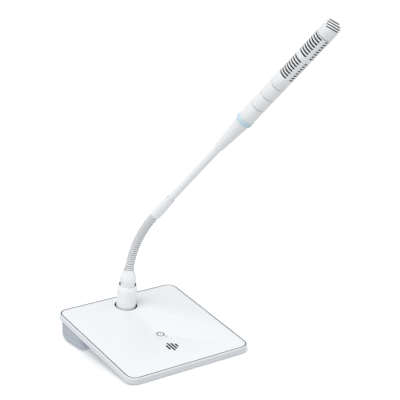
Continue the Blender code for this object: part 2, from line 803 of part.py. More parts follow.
def make_grille_cap(head):
    """Domed end cap, open below, with slanted parallel slots cut through its dome between two side ribs."""
    dome_start = HEAD_END - DOME_HEIGHT
    inside = HEAD_RADIUS - HEAD_WALL
    inner_arc = dome_arc(inside, DOME_HEIGHT - HEAD_WALL, dome_start)
    profile = [
        (HEAD_RADIUS, TUBE_END + GROOVE / 2),
        *dome_arc(HEAD_RADIUS, DOME_HEIGHT, dome_start),
        (0, HEAD_END),
        (0, HEAD_END - HEAD_WALL),
        *inner_arc[::-1],
        (inside, TUBE_END + GROOVE / 2),
    ]
    cap = revolve("grille_cap", profile, "white_metal", head, sides=TUBE_ROUND, lift=LAST_PIVOT)
    around, over, spin = DOME_SLOT_TILT
    tilt = turned(around, "Z") @ turned(over, "Y") @ turned(spin, "Z")
    slanted = frame_empty("dome_slots", head.matrix_world @ translated(0, 0, HEAD_END - LAST_PIVOT) @ tilt)
    for number, reach in enumerate(DOME_SLOT_REACH):
        level = LOWEST_DOME_SLOT + number * DOME_SLOT_PITCH
        low = (-reach - 0.5, -2 * HEAD_RADIUS, level - DOME_SLOT_WIDTH / 2)
        high = (reach - 0.5, 2 * HEAD_RADIUS, level + DOME_SLOT_WIDTH / 2)
        cut_box(cap, low, high, parent=slanted)


def make_capsule(head):
    """The microphone capsule in its rubber seat, the dark mesh over it, and its small amplifier board."""
    lift = LAST_PIVOT
    inside = HEAD_RADIUS - HEAD_WALL - GAP
    seat_low = CORE_END + 1.0
    seat_high = CAPSULE_END - 3.0
    mesh_top = HEAD_END - DOME_HEIGHT - 1.0
    sleeve("acoustic_mesh", inside, inside - 0.4, seat_high + 0.5, mesh_top, "dark_mesh", head, sides=20, lift=lift)
    sleeve("capsule_seat", inside, 6.0, seat_low, seat_high, "black_rubber", head, sides=20, lift=lift)
    capsule = [
        (0, CAPSULE_START),
        (5.7, CAPSULE_START),
        (5.7, CAPSULE_END - 0.5),
        (5.2, CAPSULE_END),
        (0, CAPSULE_END),
    ]
    revolve("microphone_capsule", capsule, "capsule_metal", head, sides=20, lift=lift)
    low = (-4.6, -0.6, RING_END + 1.4 - lift)
    high = (4.6, 0.6, CORE_END - 4.0 - lift)
    block("amplifier_board", low, high, "board_green", head)


def clear_scene():
    for item in list(bpy.data.objects):
        bpy.data.objects.remove(item, do_unlink=True)


def main():
    clear_scene()
    slab = frame_empty("slab_frame", SLAB_FRAME)
    socket = frame_empty("socket_frame", NECK_FRAME)
    plug = frame_empty("plug_frame", NECK_FRAME)
    make_top_panel(slab)
    make_base_frame(slab)
    make_bottom_pan(slab)
    make_rear_housing(slab)
    make_ballast(slab)
    make_main_board()
    make_cable_jack()
    make_jack_contacts()
    make_talk_button(slab)
    make_socket(socket)
    make_feet()
    make_screws(slab)
    make_plug_shell(plug)
    make_plug_insert(plug)
    make_plug_boot(plug)
    frames = pivot_frames()
    for index, frame in enumerate(frames[:-1], 1):
        make_link(index, frame)
    head = frame_empty("head_frame", frames[-1])
    make_ferrule(head)
    make_stem(head)
    make_cone(head)
    make_light_ring(head)
    make_head_sections(head)
    make_grille_tube(head)
    make_grille_cap(head)
    make_capsule(head)


main()
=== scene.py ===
import json
import math

import bmesh
import bpy
from mathutils import Matrix, Vector


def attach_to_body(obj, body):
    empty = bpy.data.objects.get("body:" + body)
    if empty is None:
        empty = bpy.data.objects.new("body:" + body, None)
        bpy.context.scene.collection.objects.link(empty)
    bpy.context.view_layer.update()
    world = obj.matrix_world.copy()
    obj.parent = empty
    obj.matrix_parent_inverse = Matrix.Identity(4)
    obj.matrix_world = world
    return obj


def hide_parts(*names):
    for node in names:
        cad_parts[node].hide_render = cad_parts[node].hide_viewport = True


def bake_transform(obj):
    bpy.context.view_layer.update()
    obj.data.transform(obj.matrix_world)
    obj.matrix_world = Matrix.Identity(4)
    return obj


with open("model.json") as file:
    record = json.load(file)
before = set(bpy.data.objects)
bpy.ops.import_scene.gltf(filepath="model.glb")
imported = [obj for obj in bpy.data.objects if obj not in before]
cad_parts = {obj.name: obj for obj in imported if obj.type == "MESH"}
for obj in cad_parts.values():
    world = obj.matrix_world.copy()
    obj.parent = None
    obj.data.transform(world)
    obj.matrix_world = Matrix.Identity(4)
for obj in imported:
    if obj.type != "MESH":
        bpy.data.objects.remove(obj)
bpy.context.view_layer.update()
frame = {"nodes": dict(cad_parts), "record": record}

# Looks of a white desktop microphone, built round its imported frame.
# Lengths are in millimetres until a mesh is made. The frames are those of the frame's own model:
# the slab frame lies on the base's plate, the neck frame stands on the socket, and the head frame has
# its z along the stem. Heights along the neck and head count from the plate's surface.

MM = 0.001

SLOPE = 9.8
PANEL_HALF = 69.75
PANEL_CORNER = 9.0
FRAME_DEPTH = 6.4
FRAME_REACH = 1.65
SEAM = 0.65  # how far the visible plate stays inside its edge, for the seam line
SLAB_CENTRE_Y = -45.0
SLAB_CENTRE_Z = 1.5 + (PANEL_HALF + FRAME_REACH) * math.sin(math.radians(SLOPE))
SLAB_CENTRE_Z += FRAME_DEPTH * math.cos(math.radians(SLOPE))

SOCKET_Y = 51.2
HOLE_RADIUS = 11.9
PLUG_RADIUS = 10.1
PLUG_BOTTOM = -19.2
GAP_SHADE_FACING = -122.0  # the plug's two black tabs, painted shade of the gap under the boot, stand square to this direction, the camera's
BOOT_TOP = 42.0
LINK_COUNT = 8
LINK_PITCH = 9.6
FIRST_PIVOT = BOOT_TOP - math.sqrt(6.0**2 - 4.55**2)
LAST_PIVOT = FIRST_PIVOT + LINK_COUNT * LINK_PITCH
NECK_TURN = 21.0
NECK_LEAN = 34.8
LEAN_POWER = 1.15

SPRING_RADIUS = 4.65
SPRING_GROOVE = 0.95
SPRING_PITCH = 2.7
SPRING_SIDES = 20
SPRING_BORE = 3.2
SPRING_FOOT = 3.6  # how far below the first pivot the spring starts, inside the boot
SPRING_JOIN = 7.2  # how far above the first pivot its first stretch meets the second
SPRING_HEAD = 6.0  # how far above the last pivot it ends, inside the ferrule

HEAD_RADIUS = 7.9
HEAD_WALL = 0.9
RING_END = 274.6
SECTION_ENDS = (292.3, 306.7, 321.5)
GROOVE = 0.6
TUBE_END = 388.3
HEAD_END = 404.4
DOME_HEIGHT = 6.0
DOME_POWER = 2.8  # 2 would make the dome an ellipse; more makes it fuller
DOME_SLOT_PITCH = 2.12
DOME_SLOT_WIDTH = 0.95
DOME_SLOT_REACH = (6.2, 6.9, 7.1, 6.8, 5.1)  # half the length of each slanted slot, lowest first
LOWEST_DOME_SLOT = -7.1  # from the dome's top, square to the slots
DOME_SLOT_TILT = (129.1, 31.5, 66.9)  # turns about z, y and z again, from the head frame to the slots'
SLOT_ROWS = ((336.0, 8), (364.7, 8))
SLOT_PITCH = 3.07
SLOT_HEIGHT = 1.75
RIB_ANGLE = 28.0
RIB_PHASE = -53.0

HOUSING_HALF = 68.0
HOUSING_FRONT = -19.0
HOUSING_REAR = 24.5
HOUSING_TOP_DEPTH = 6.7  # how far the housing's top edge stays below the plate's surface
JACK_MOUTH = ((23.7, 18.5, 7.2), (40.3, 30.5, 20.8))

BUTTON_Y = -13.8
BUTTON_HOLE = 4.6
LIGHT_HOLE = 1.05
LIGHT_SPOT = (3.8, -19.2)
MARK_SPOT = (-1.8, -38.0)
MARK_BARS = (8.0, 15.0, 11.0, 6.0)

LOW_SKY = -0.3  # sines of the lowest and highest elevation at which the sky's tone changes
HIGH_SKY = 0.5
HAZE_TOP = 0.14  # the sky is brightest from the horizon up to here
FLOOR_HALF = 14.0  # metres, as are the places below
FLOOR_GLOW = 0.24
AIM = (0, -0.1, 0.1)
KEY_PLACE = (-0.9, -0.6, 1.9)
FILL_PLACE = (1.6, -1.2, 1.2)
CAMERA_PLACE = (-0.5981, -0.957, 0.4707)
CAMERA_TURN = (73.79, 0, -35.75)
CAMERA_LENS = 104.8


# Frames


def translated(x, y, z):
    return Matrix.Translation(Vector((x, y, z)) * MM)


def turned(degrees, axis):
    return Matrix.Rotation(math.radians(degrees), 4, axis)


def link_angle(index):
    """How far the neck leans forward, in degrees, after this many pivots."""
    return NECK_LEAN * (1 - (1 - index / (LINK_COUNT + 1)) ** LEAN_POWER)


SLAB_FRAME = translated(0, SLAB_CENTRE_Y, SLAB_CENTRE_Z) @ turned(SLOPE, "X")
NECK_FRAME = SLAB_FRAME @ translated(0, SOCKET_Y, 0) @ turned(NECK_TURN - 90, "Z")


def pivot_frames():
    """A frame on each pivot of the neck, turned as the link above it."""
    frames = []
    place = NECK_FRAME @ translated(0, 0, FIRST_PIVOT)
    for index in range(1, LINK_COUNT + 2):
        place = place @ turned(link_angle(index) - link_angle(index - 1), "Y")
        frames.append(place.copy())
        place = place @ translated(0, 0, LINK_PITCH)
    return frames


PIVOTS = pivot_frames()
HEAD_FRAME = PIVOTS[-1] @ translated(0, 0, -LAST_PIVOT)  # so that z goes on counting from the plate


# Materials: each has fine grain in the relief, a slow change of tone and uneven gloss


def node(tree, kind, **values):
    made = tree.nodes.new(kind)
    for key, value in values.items():
        if key in made.inputs:
            made.inputs[key].default_value = value
        else:
            setattr(made, key, value)
    return made


def ramp_between(tree, factor, dark, light):
    """Colours mixed by a factor from a texture."""
    mix = tree.nodes.new("ShaderNodeMix")
    mix.data_type = "RGBA"
    tree.links.new(factor, mix.inputs["Factor"])
    mix.inputs["A"].default_value = (*dark, 1)
    mix.inputs["B"].default_value = (*light, 1)
    return mix.outputs["Result"]


def spread(tree, factor, low, high):
    """The middle of a texture's range, spread from low to high."""
    made = node(tree, "ShaderNodeMapRange")
    made.inputs["From Min"].default_value = 0.3
    made.inputs["From Max"].default_value = 0.7
    made.inputs["To Min"].default_value = low
    made.inputs["To Max"].default_value = high
    tree.links.new(factor, made.inputs["Value"])
    return made.outputs["Result"]


def surface(
    name, colour, roughness, metallic=0.0, grain=2500.0, relief=0.08, tone=0.05, stretch=(1, 1, 1), **extra
):
    """A material whose grain, tone and gloss come from noise on the object's own coordinates."""
    made = bpy.data.materials.new(name)
    made.use_nodes = True
    tree = made.node_tree
    shader = tree.nodes["Principled BSDF"]
    where = node(tree, "ShaderNodeTexCoord")
    scale = node(tree, "ShaderNodeMapping")
    scale.inputs["Scale"].default_value = stretch
    tree.links.new(where.outputs["Object"], scale.inputs["Vector"])
    fine = node(tree, "ShaderNodeTexNoise", Scale=grain, Detail=4.0, Roughness=0.6)
    broad = node(tree, "ShaderNodeTexNoise", Scale=38.0, Detail=5.0, Roughness=0.55)
    smudge = node(tree, "ShaderNodeTexNoise", Scale=140.0, Detail=3.0, Roughness=0.5)
    tree.links.new(scale.outputs["Vector"], fine.inputs["Vector"])
    for texture in (broad, smudge):
        tree.links.new(where.outputs["Object"], texture.inputs["Vector"])
    dark = [part * (1 - tone) for part in colour]
    tree.links.new(ramp_between(tree, broad.outputs["Fac"], dark, colour), shader.inputs["Base Color"])
    rough = spread(tree, smudge.outputs["Fac"], roughness * 0.85, min(1.0, roughness * 1.18))
    tree.links.new(rough, shader.inputs["Roughness"])
    bump = node(tree, "ShaderNodeBump", Strength=relief, Distance=0.0002)
    tree.links.new(fine.outputs["Fac"], bump.inputs["Height"])
    tree.links.new(bump.outputs["Normal"], shader.inputs["Normal"])
    shader.inputs["Metallic"].default_value = metallic
    for key, value in extra.items():
        shader.inputs[key.replace("_", " ")].default_value = value
    return made


def woven(name, colour):
    """Fine dark mesh: two crossed waves in the tone, over the grainy relief of the surface."""
    made = surface(name, colour, 0.8, relief=0.2, Specular_IOR_Level=0.15)
    tree = made.node_tree
    shader = tree.nodes["Principled BSDF"]
    where = tree.nodes["Texture Coordinate"]
    first = node(tree, "ShaderNodeTexWave", Scale=1400.0, bands_direction="Z")
    second = node(tree, "ShaderNodeTexWave", Scale=1400.0, bands_direction="X")
    for wave in (first, second):
        tree.links.new(where.outputs["Object"], wave.inputs["Vector"])
    both = node(tree, "ShaderNodeMath", operation="MULTIPLY")
    tree.links.new(first.outputs["Fac"], both.inputs[0])
    tree.links.new(second.outputs["Fac"], both.inputs[1])
    light = [part * 2.2 for part in colour]
    tree.links.new(ramp_between(tree, both.outputs["Value"], colour, light), shader.inputs["Base Color"])
    return made


def wound(name, colour, shade):
    """The spring's coat, with painted shade darkening the valleys between the turns, by the depth stored on
    each point.
    """
    made = surface(name, colour, 0.34, relief=0.08, tone=0.06)
    tree = made.node_tree
    shader = tree.nodes["Principled BSDF"]
    unshaded_colour = shader.inputs["Base Color"].links[0].from_socket
    # The depth in the groove sets how much painted shade darkens the colour.
    depth = node(tree, "ShaderNodeAttribute", attribute_name="groove")
    mix = tree.nodes.new("ShaderNodeMix")
    mix.data_type = "RGBA"
    tree.links.new(depth.outputs["Fac"], mix.inputs["Factor"])
    tree.links.new(unshaded_colour, mix.inputs["A"])
    mix.inputs["B"].default_value = (*shade, 1)
    tree.links.new(mix.outputs["Result"], shader.inputs["Base Color"])
    return made


MATERIALS = {
    "white_panel": surface("white_panel", (0.87, 0.885, 0.90), 0.34, relief=0.05, tone=0.02),
    "white_frame": surface("white_frame", (0.80, 0.825, 0.85), 0.42, relief=0.08, tone=0.04),
    "grey_housing": surface("grey_housing", (0.50, 0.55, 0.62), 0.5, grain=1800.0, relief=0.3, tone=0.08),
    "grey_steel": surface("grey_steel", (0.42, 0.45, 0.49), 0.5, 0.5, grain=1500.0, relief=0.3, tone=0.12),
    "ballast_steel": surface(
        "ballast_steel", (0.40, 0.41, 0.43), 0.45, 1.0, stretch=(1, 0.05, 1), relief=0.3
    ),
    "black_plastic": surface("black_plastic", (0.018, 0.018, 0.02), 0.45, relief=0.2, tone=0.2),
    "black_rubber": surface("black_rubber", (0.025, 0.025, 0.026), 0.82, grain=1300.0, relief=0.4, tone=0.25),
    "gold_contact": surface("gold_contact", (0.83, 0.60, 0.22), 0.25, 1.0, relief=0.1, tone=0.15),
    "board_green": surface("board_green", (0.03, 0.22, 0.10), 0.45, grain=700.0, relief=0.3, tone=0.35),
    "screw_steel": surface(
        "screw_steel", (0.58, 0.59, 0.61), 0.32, 1.0, stretch=(1, 1, 0.1), relief=0.2, tone=0.15
    ),
    "white_metal": surface("white_metal", (0.86, 0.872, 0.885), 0.3, relief=0.05, tone=0.03, Coat_Weight=0.3),
    # The spring's dark third colour is painted shade, laid into the valleys between its turns.
    "white_spring": wound("white_spring", (0.86, 0.872, 0.885), (0.10, 0.11, 0.13)),
    "ice_ring": surface(
        "ice_ring", (0.80, 0.905, 0.95), 0.16, relief=0.03, tone=0.06, Subsurface_Weight=0.3, Coat_Weight=0.5
    ),
    "clear_light": surface("clear_light", (0.36, 0.38, 0.40), 0.12, relief=0.02, tone=0.1),
    "dark_mesh": woven("dark_mesh", (0.010, 0.0105, 0.0115)),
    "capsule_metal": surface("capsule_metal", (0.68, 0.69, 0.71), 0.3, 1.0, relief=0.15, tone=0.1),
}
INK = surface("print_ink", (0.010, 0.010, 0.012), 0.6, relief=0.15, tone=0.3, Specular_IOR_Level=0.15)
GREY_INK = surface("grey_ink", (0.03, 0.033, 0.037), 0.6, relief=0.15, tone=0.2, Specular_IOR_Level=0.2)


# Shapes


def rounded_profile(points, steps=4):
    """Closed profile of (r, z) or (r, z, rounding): each given corner becomes a soft curve."""
    made = []
    for index, point in enumerate(points):
        corner = Vector(point[:2])
        if len(point) < 3:
            made.append(tuple(corner))
            continue
        before = Vector(points[index - 1][:2]) - corner
        after = Vector(points[(index + 1) % len(points)][:2]) - corner
        cut = min(point[2], 0.49 * before.length, 0.49 * after.length)
        start = corner + before.normalized() * cut
        end = corner + after.normalized() * cut
        for step in range(steps + 1):
            along = step / steps
            made.append(tuple(start * (1 - along) ** 2 + corner * 2 * along * (1 - along) + end * along**2))
    return made


def rounded_square(half, radius, steps=12):
    points = []
    for quarter in range(4):
        centre_x = (half - radius) * (1 if quarter in (0, 3) else -1)
        centre_y = (half - radius) * (1 if quarter in (0, 1) else -1)
        for step in range(steps + 1):
            angle = math.radians(90 * (quarter + step / steps))
            points.append((centre_x + radius * math.cos(angle), centre_y + radius * math.sin(angle)))
    return points


def circle(radius, sides, x=0.0, y=0.0):
    angles = [2 * math.pi * side / sides for side in range(sides)]
    return [(x + radius * math.cos(angle), y + radius * math.sin(angle)) for angle in angles]


def bridge(shape, lower, upper):
    """Faces between two rings of points, either of which may be a single point."""
    count = max(len(lower), len(upper))
    for side in range(count):
        after = (side + 1) % count
        if len(lower) == 1:
            shape.faces.new((lower[0], upper[after], upper[side]))
        elif len(upper) == 1:
            shape.faces.new((lower[side], lower[after], upper[0]))
        else:
            shape.faces.new((lower[side], lower[after], upper[after], upper[side]))


def add_loop(shape, points):
    return [shape.verts.new(Vector(point) * MM) for point in points]


def as_object(name, shape, place, look, sharp=38.0):
    """Makes an object at the given place, its faces outward and smooth where it is round."""
    bmesh.ops.recalc_face_normals(shape, faces=shape.faces)
    shape.transform(place)
    mesh = bpy.data.meshes.new(name)
    shape.to_mesh(mesh)
    shape.free()
    mesh.shade_smooth()
    mesh.set_sharp_from_angle(angle=math.radians(sharp))
    made = bpy.data.objects.new(name, mesh)
    bpy.context.scene.collection.objects.link(made)
    if look:
        mesh.materials.append(look)
    return made


def loft(name, loops, place, look, tube=False):
    """Skins the loops in order. A tube joins the last to the first, and anything else is capped."""
    shape = bmesh.new()
    rings = [add_loop(shape, loop) for loop in loops]
    for lower, upper in zip(rings, rings[1:]):
        bridge(shape, lower, upper)
    if tube:
        bridge(shape, rings[-1], rings[0])
    else:
        shape.faces.new(rings[0][::-1])
        shape.faces.new(rings[-1])
    return as_object(name, shape, place, look)


def revolve(name, profile, place, look, sides=64, x=0.0, y=0.0, flutes=None):
    """Turns a closed profile about z. Flutes are (count, depth, low, high) on the outer wall."""
    shape = bmesh.new()
    rings = []
    outer = max(radius for radius, _ in profile)
    for radius, height in profile:
        if radius < 1e-6:
            rings.append(add_loop(shape, [(x, y, height)]))
            continue
        points = []
        for across, along in circle(1.0, sides):
            reach = radius
            if flutes and flutes[2] < height < flutes[3] and radius > outer - 0.6:
                reach -= flutes[1] * (0.5 - 0.5 * math.cos(flutes[0] * math.atan2(along, across)))
            points.append((x + reach * across, y + reach * along, height))
        rings.append(add_loop(shape, points))
    for lower, upper in zip(rings, rings[1:] + rings[:1]):
        if len(lower) > 1 or len(upper) > 1:
            bridge(shape, lower, upper)
    return as_object(name, shape, place, look)


def box(name, low, high, place):
    shape = bmesh.new()
    bmesh.ops.create_cube(shape, size=1.0)
    size = Vector(high) - Vector(low)
    bmesh.ops.scale(shape, vec=size * MM, verts=shape.verts)
    bmesh.ops.translate(shape, vec=(Vector(high) + Vector(low)) / 2 * MM, verts=shape.verts)
    return as_object(name, shape, place, None)


def settle(piece, cutters=(), bevel=0.0, segments=2):
    """Cuts the piece, softens its edges and makes the result its own mesh."""
    for cutter in cutters:
        modifier = piece.modifiers.new(cutter.name, "BOOLEAN")
        modifier.operation = "DIFFERENCE"
        modifier.solver = "EXACT"
        modifier.object = cutter
    if bevel:
        modifier = piece.modifiers.new("edges", "BEVEL")
        modifier.width = bevel * MM
        modifier.segments = segments
        modifier.limit_method = "ANGLE"
        modifier.angle_limit = math.radians(40)
        modifier.use_clamp_overlap = True
    bpy.context.view_layer.update()
    graph = bpy.context.evaluated_depsgraph_get()
    mesh = bpy.data.meshes.new_from_object(piece.evaluated_get(graph))
    piece.modifiers.clear()
    piece.data = mesh
    mesh.shade_smooth()
    mesh.set_sharp_from_angle(angle=math.radians(38))
    for cutter in cutters:
        bpy.data.objects.remove(cutter)
    return piece


def attach(piece, body, slot, *nodes):
    """Lets the piece ride on a body, in place of any frame nodes that are named. The slot is not used."""
    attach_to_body(piece, body)
    if nodes:
        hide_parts(*nodes)
    return piece


# Base


def make_panel():
    """The plate with a rounded edge and holes for the plug, the key and the light."""
    half = PANEL_HALF - SEAM
    corner = PANEL_CORNER - SEAM
    edge = ((0.0, -1.4), (0.0, -0.32), (0.06, -0.14), (0.2, -0.03), (0.36, 0.0))
    loops = []
    for inset, height in edge:
        loops.append([(x, y, height) for x, y in rounded_square(half - inset, corner - inset)])
    panel = loft("plate", loops, SLAB_FRAME, MATERIALS["white_panel"])
    cutters = []
    holes = ((HOLE_RADIUS, 0, SOCKET_Y, 96), (BUTTON_HOLE, 0, BUTTON_Y, 64), (LIGHT_HOLE, *LIGHT_SPOT, 32))
    for number, (radius, x, y, sides) in enumerate(holes):
        rims = [[(*point, height) for point in circle(radius, sides, x, y)] for height in (-5, 5)]
        cutters.append(loft(f"hole_{number}", rims, SLAB_FRAME, None))
    attach(settle(panel, cutters, bevel=0.12), "base", "white_panel", "top_panel")


def make_rim():
    """The frame round the plate: rounded shoulder, a fine groove, and a lower band set slightly in."""
    profile = rounded_profile(
        [
            (FRAME_REACH - 0.5, -FRAME_DEPTH, 0.3),
            (FRAME_REACH - 0.25, -FRAME_DEPTH + 0.6, 0.3),
            (FRAME_REACH - 0.2, -3.75),
            (FRAME_REACH - 0.55, -3.65),
            (FRAME_REACH - 0.55, -3.35),
            (FRAME_REACH, -3.2, 0.1),
            (FRAME_REACH, -0.05, 0.9),
            (0.3, -0.05, 0.25),
            (0.3, -1.7),
            (-3.6, -1.7),
            (-3.6, -2.9),
            (-0.25, -2.9),
            (-0.25, -FRAME_DEPTH),
        ]
    )
    loops = []
    for reach, height in profile:
        outline = rounded_square(PANEL_HALF + reach, PANEL_CORNER + reach)
        loops.append([(x, y, height) for x, y in outline])
    rim = loft("rim", loops, SLAB_FRAME, MATERIALS["white_frame"], tube=True)
    attach(rim, "base", "white_frame", "base_frame")


def make_seal():
    """The dark strip that fills the gap between the plate and its frame."""
    section = (
        (0.27, -1.65),
        (0.27, -0.16),
        (-SEAM + 0.03, -0.16),
        (-SEAM + 0.03, -1.36),
        (-SEAM - 0.2, -1.42),
        (-SEAM - 0.2, -1.65),
    )
    loops = []
    for reach, height in section:
        outline = rounded_square(PANEL_HALF + reach, PANEL_CORNER + reach)
        loops.append([(x, y, height) for x, y in outline])
    seal = loft("plate_seal", loops, SLAB_FRAME, MATERIALS["black_rubber"], tube=True)
    attach(seal, "base", "black_rubber")


def underside_height(y, below):
    slope = math.radians(SLOPE)
    return SLAB_CENTRE_Z + math.tan(slope) * (y - SLAB_CENTRE_Y) - below / math.cos(slope)


def make_housing():
    """Grey box under the rear of the plate, with a rounded belly, a groove and a hole for the jack."""
    levels = (
        # height, then how far the sides, the front and the rear stay in, and the corner's radius
        (1.3, 4.6, 3.6, 10.2, 4.6),
        (1.42, 3.9, 2.9, 9.4, 5.2),
        (1.9, 2.3, 1.7, 7.0, 6.0),
        (2.8, 1.25, 0.95, 4.9, 6.6),
        (4.0, 0.5, 0.45, 2.8, 7.0),
        (5.4, 0.1, 0.1, 1.1, 7.0),
        (7.0, 0.0, 0.0, 0.25, 7.0),
        (8.4, 0.0, 0.0, 0.0, 7.0),
        (9.0, 0.0, 0.0, 0.0, 7.0),
        (9.05, 0.35, 0.35, 0.35, 6.7),
        (9.4, 0.35, 0.35, 0.35, 6.7),
        (9.45, 0.0, 0.0, 0.0, 7.0),
        (None, 0.0, 0.0, 0.0, 7.0),
        (None, 2.0, 2.0, 2.0, 5.0),
        (8.0, 2.0, 2.0, 2.0, 5.0),
        (6.2, 2.0, 2.0, 3.0, 5.0),
        (3.4, 5.5, 4.5, 11.0, 5.0),
    )
    loops = []
    for height, side, front, rear, corner in levels:
        half_x = HOUSING_HALF - side
        low = HOUSING_FRONT + front
        high = HOUSING_REAR - rear
        middle = (low + high) / 2
        half_y = (high - low) / 2
        loop = []
        for quarter in range(4):
            centre_x = (half_x - corner) * (1 if quarter in (0, 3) else -1)
            centre_y = middle + (half_y - corner) * (1 if quarter in (0, 1) else -1)
            for step in range(11):
                angle = math.radians(90 * (quarter + step / 10))
                x = centre_x + corner * math.cos(angle)
                y = centre_y + corner * math.sin(angle)
                loop.append((x, y, underside_height(y, HOUSING_TOP_DEPTH) if height is None else height))
        loops.append(loop)
    housing = loft("housing", loops, Matrix.Identity(4), MATERIALS["grey_housing"])
    mouth = box("mouth", *JACK_MOUTH, Matrix.Identity(4))
    attach(settle(housing, [mouth], bevel=0.2), "base", "grey_housing", "rear_housing")


def make_button():
    """The round key with its printed ring and dot, which go down with it."""
    profile = rounded_profile(
        [
            (0, -2.6),
            (5.6, -2.6, 0.2),
            (5.6, -1.75, 0.2),
            (4.3, -1.75),
            (4.3, 0.25, 0.3),
            (3.0, 0.16, 0.5),
            (0, 0.1),
        ]
    )
    centre = SLAB_FRAME @ translated(0, BUTTON_Y, 0)
    cap = revolve("button_cap", profile, centre, MATERIALS["white_panel"])
    attach(cap, "talk_button", "white_panel", "talk_button")
    ring = rounded_profile([(3.1, 0.16), (4.0, 0.19), (4.0, 0.27, 0.05), (3.1, 0.24, 0.05)], steps=2)
    attach(revolve("button_ring_print", ring, centre, GREY_INK), "talk_button", "black_plastic")
    dot = rounded_profile([(0, 0.06), (0.65, 0.06), (0.65, 0.18, 0.05), (0, 0.18)], steps=2)
    attach(revolve("button_dot_print", dot, centre, GREY_INK, sides=24), "talk_button", "black_plastic")


def make_status_light():
    profile = [(0, -3.8), (0.75, -3.8), (0.75, -0.1), (0.62, 0.08), (0.38, 0.19), (0, 0.24)]
    spot = SLAB_FRAME @ translated(*LIGHT_SPOT, 0)
    lens = revolve("light_lens", profile, spot, MATERIALS["clear_light"], sides=32)
    attach(lens, "base", "clear_light", "status_light")


def make_mark():
    """A plain printed sign: round-ended bars, like a sound wave."""
    half = 1.0
    for number, height in enumerate(MARK_BARS):
        x = MARK_SPOT[0] + (number - (len(MARK_BARS) - 1) / 2) * 3.3
        reach = height / 2 - half
        outline = []
        for step in range(13):
            angle = math.pi * step / 12
            outline.append((x + half * math.cos(angle), MARK_SPOT[1] + reach + half * math.sin(angle)))
        for step in range(13):
            angle = math.pi + math.pi * step / 12
            outline.append((x + half * math.cos(angle), MARK_SPOT[1] - reach + half * math.sin(angle)))
        loops = [[(*point, level) for point in outline] for level in (0.01, 0.05)]
        attach(loft(f"mark_bar_{number + 1}", loops, SLAB_FRAME, INK), "base", "black_plastic")


# Plug, spring and stem


def make_plug_body():
    """The plug's barrel, with fine flutes on its lower half."""
    profile = rounded_profile(
        [
            (9.8, PLUG_BOTTOM, 0.2),
            (PLUG_RADIUS, PLUG_BOTTOM + 0.4, 0.2),
            (PLUG_RADIUS, -3.0),
            (PLUG_RADIUS, 0.4),
            (PLUG_RADIUS, 4.0),
            (PLUG_RADIUS, 8.0),
            (PLUG_RADIUS, 11.6, 0.12),
            (9.75, 11.75, 0.1),
            (9.75, 12.25, 0.1),
            (PLUG_RADIUS, 12.4, 0.12),
            (PLUG_RADIUS, 20.0, 0.8),
            (9.05, 23.4, 0.5),
            (8.6, 24.0, 0.3),
            (8.0, 24.0, 0.2),
            (8.0, 16.0),
            (6.8, 16.0),
            (6.8, -2.0),
            (8.2, -2.0),
            (8.2, PLUG_BOTTOM),
        ]
    )
    look = MATERIALS["white_metal"]
    body = revolve("plug_body", profile, NECK_FRAME, look, sides=160, flutes=(40, 0.28, -3.5, 11.5))
    attach(body, "plug", "white_metal", "plug_shell")


def make_boot():
    profile = rounded_profile(
        [
            (2.2, 16.3),
            (7.65, 16.3),
            (7.65, 26.6, 1.0),
            (8.2, 28.6, 1.0),
            (8.45, 31.3, 1.4),
            (8.1, 34.0, 1.4),
            (7.25, 36.5, 1.2),
            (6.35, 38.7, 1.0),
            (5.35, 42.4, 0.3),
            (4.9, 42.4, 0.15),
            (4.9, 35.0),
            (2.2, 33.0),
        ]
    )
    attach(revolve("boot", profile, NECK_FRAME, MATERIALS["white_metal"]), "plug", "white_metal", "plug_boot")


def make_gap_shade_tabs():
    # Painted shade: two black tabs on the plug's sides as the camera sees them, standing in for the shaded
    # gap where the boot meets the barrel.
    for side, word in ((-1, "left"), (1, "right")):
        angle = GAP_SHADE_FACING + side * 90
        place = NECK_FRAME @ turned(angle - NECK_TURN + 90, "Z")
        tab = box(f"gap_shade_tab_{word}", (7.5, -1.5, 23.4), (8.85, 1.5, 26.1), place)
        tab.data.materials.append(MATERIALS["black_plastic"])
        attach(settle(tab, bevel=0.35, segments=3), "plug", "black_plastic")


def spring_ridge(height, angle):
    """0 in the valley and 1 on the ridge of the wound wire: one ridge each pitch, climbing with the turn."""
    return abs(math.sin(math.pi * height / SPRING_PITCH - angle / 2))


